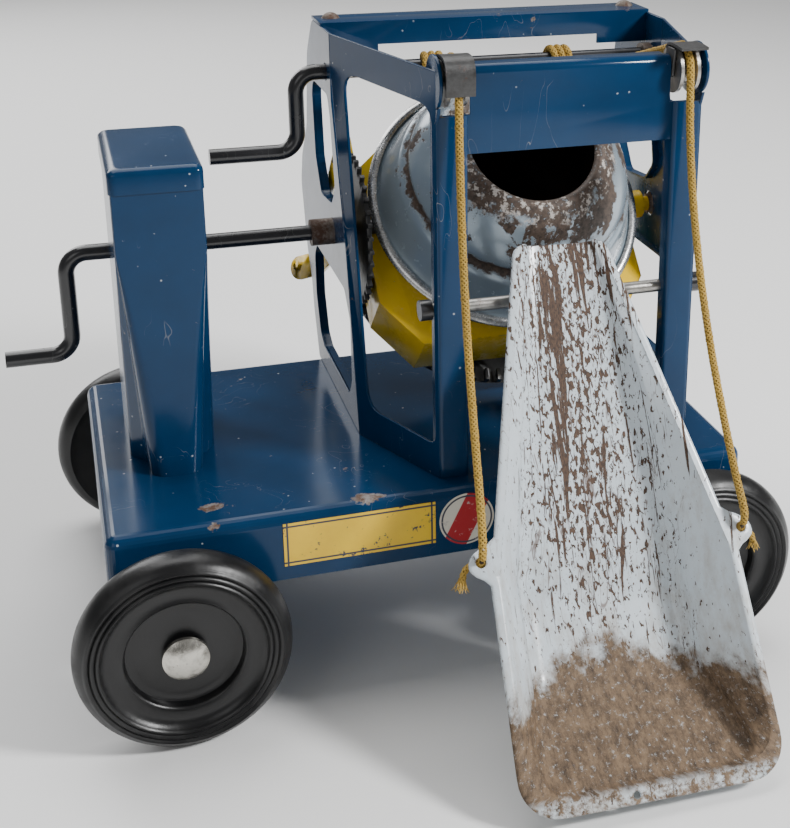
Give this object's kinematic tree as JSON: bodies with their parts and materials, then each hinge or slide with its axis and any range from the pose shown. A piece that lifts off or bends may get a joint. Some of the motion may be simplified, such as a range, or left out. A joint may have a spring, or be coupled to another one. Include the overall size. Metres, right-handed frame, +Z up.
{
  "type": "toy cement mixer",
  "caption": "Pressed-steel toy cement mixer: geared tilting drum in a splayed frame, engine housing, crank, and a loading chute hoisted by a windlass and ropes, on rubber wheels.",
  "frame": {"origin": "on the ground under the middle of the toy's bounding box, chute lowered", "axes": "+X along the base toward the drum frame, +Y to the rear, away from the chute, +Z up"},
  "size_m": [0.2854, 0.2822, 0.236],
  "materials": {
    "blue_paint": "glossy",
    "label": "worn",
    "badge": "worn",
    "rusty_steel": "rusted",
    "bare_steel": "worn",
    "black_rubber": "satin",
    "nickel": "tarnished",
    "dark_steel": "dull",
    "black_enamel": "glossy",
    "white_enamel": "scratched",
    "yellow_paint": "glossy",
    "drum_silver": "satin",
    "bright_steel": "polished",
    "gold_cord": "braided"
  },
  "bodies": {
    "chassis": {"base_tray": "blue_paint", "label_band": "label", "label_badge": "badge", "engine_housing": "blue_paint", "engine_cap": "blue_paint", "frame_left": "blue_paint", "frame_right": "blue_paint", "front_beam": "blue_paint", "rear_crossbeam": "blue_paint", "crossbeam_rivets": "rusty_steel", "crank_bush": "rusty_steel", "trunnion_bush": "rusty_steel", "axle_left": "bare_steel", "axle_right": "bare_steel", "cap_front_left": "nickel", "cap_front_right": "nickel", "cap_rear_left": "nickel", "cap_rear_right": "nickel", "pulley_hood_left": "dark_steel", "pulley_hood_right": "dark_steel", "pulley_pin_left": "bare_steel", "pulley_pin_right": "bare_steel", "chute_rod": "bare_steel", "rod_end_caps": "black_enamel", "rope_left": "gold_cord", "rope_right": "gold_cord"},
    "wheel_front_left": {"wheel_front_left": "black_rubber"},
    "wheel_front_right": {"wheel_front_right": "black_rubber"},
    "wheel_rear_left": {"wheel_rear_left": "black_rubber"},
    "wheel_rear_right": {"wheel_rear_right": "black_rubber"},
    "cradle": {"cradle_pan": "yellow_paint", "tilt_lever": "yellow_paint", "cradle_trunnion": "yellow_paint", "lever_rivets": "rusty_steel"},
    "crank": {"drum_crank": "black_enamel", "drive_gear": "dark_steel"},
    "drum": {"drum_front": "drum_silver", "drum_rear": "drum_silver", "drum_band": "bright_steel", "drum_spindle": "bare_steel", "crown_wheel": "dark_steel", "spindle_nut": "bare_steel"},
    "windlass": {"windlass_crank": "black_enamel", "windlass_collars": "rusty_steel", "winding_left": "gold_cord", "winding_right": "gold_cord"},
    "pulley_left": {"pulley_left": "bare_steel"},
    "pulley_right": {"pulley_right": "bare_steel"},
    "chute": {"chute_pan": "white_enamel", "chute_hinge": "white_enamel", "rope_knot_left": "gold_cord", "rope_knot_right": "gold_cord"}
  },
  "joints": [
    {"name": "wheel_front_left_spin", "type": "hinge", "parent": "chassis", "child": "wheel_front_left", "pos_m": [-0.09075, -0.054, 0.0375], "axis": [0, 1, 0], "continuous": true},
    {"name": "wheel_front_right_spin", "type": "hinge", "parent": "chassis", "child": "wheel_front_right", "pos_m": [0.10525, -0.054, 0.0375], "axis": [0, 1, 0], "continuous": true},
    {"name": "wheel_rear_left_spin", "type": "hinge", "parent": "chassis", "child": "wheel_rear_left", "pos_m": [-0.09075, 0.114, 0.0375], "axis": [0, 1, 0], "continuous": true},
    {"name": "wheel_rear_right_spin", "type": "hinge", "parent": "chassis", "child": "wheel_rear_right", "pos_m": [0.10525, 0.114, 0.0375], "axis": [0, 1, 0], "continuous": true},
    {"name": "drum_tilt", "type": "hinge", "parent": "chassis", "child": "cradle", "pos_m": [0.05775, 0.0585, 0.1475], "axis": [1, 0, 0], "range_deg": [0, 50]},
    {"name": "drum_spin", "type": "hinge", "parent": "cradle", "child": "drum", "pos_m": [0.05775, 0.0585, 0.1475], "axis": [0, -0.7193, 0.6947], "continuous": true},
    {"name": "drum_crank_turn", "type": "hinge", "parent": "cradle", "child": "crank", "pos_m": [0.05775, 0.0585, 0.1475], "axis": [1, 0, 0], "continuous": true},
    {"name": "chute_lift", "type": "hinge", "parent": "chassis", "child": "chute", "pos_m": [0.05775, -0.0235, 0.141], "axis": [-1, 0, 0], "range_deg": [0, 105], "deforming": ["rope_left", "rope_right"]},
    {"name": "windlass_turn", "type": "hinge", "parent": "chassis", "child": "windlass", "pos_m": [0.05775, 0.062, 0.2125], "axis": [1, 0, 0], "range_deg": [0, 1449]},
    {"name": "pulley_left_turn", "type": "hinge", "parent": "chassis", "child": "pulley_left", "pos_m": [0.01475, -0.0255, 0.225], "axis": [-1, 0, 0], "range_deg": [0, 850.5]},
    {"name": "pulley_right_turn", "type": "hinge", "parent": "chassis", "child": "pulley_right", "pos_m": [0.10075, -0.0255, 0.225], "axis": [-1, 0, 0], "range_deg": [0, 850.5]}
  ],
  "couplings": [
    {"joint": "drum_crank_turn", "follows": "drum_spin", "ratio": -2},
    {"joint": "windlass_turn", "follows": "chute_lift", "ratio": 13.8},
    {"joint": "pulley_left_turn", "follows": "chute_lift", "ratio": 8.1},
    {"joint": "pulley_right_turn", "follows": "chute_lift", "ratio": 8.1}
  ]
}
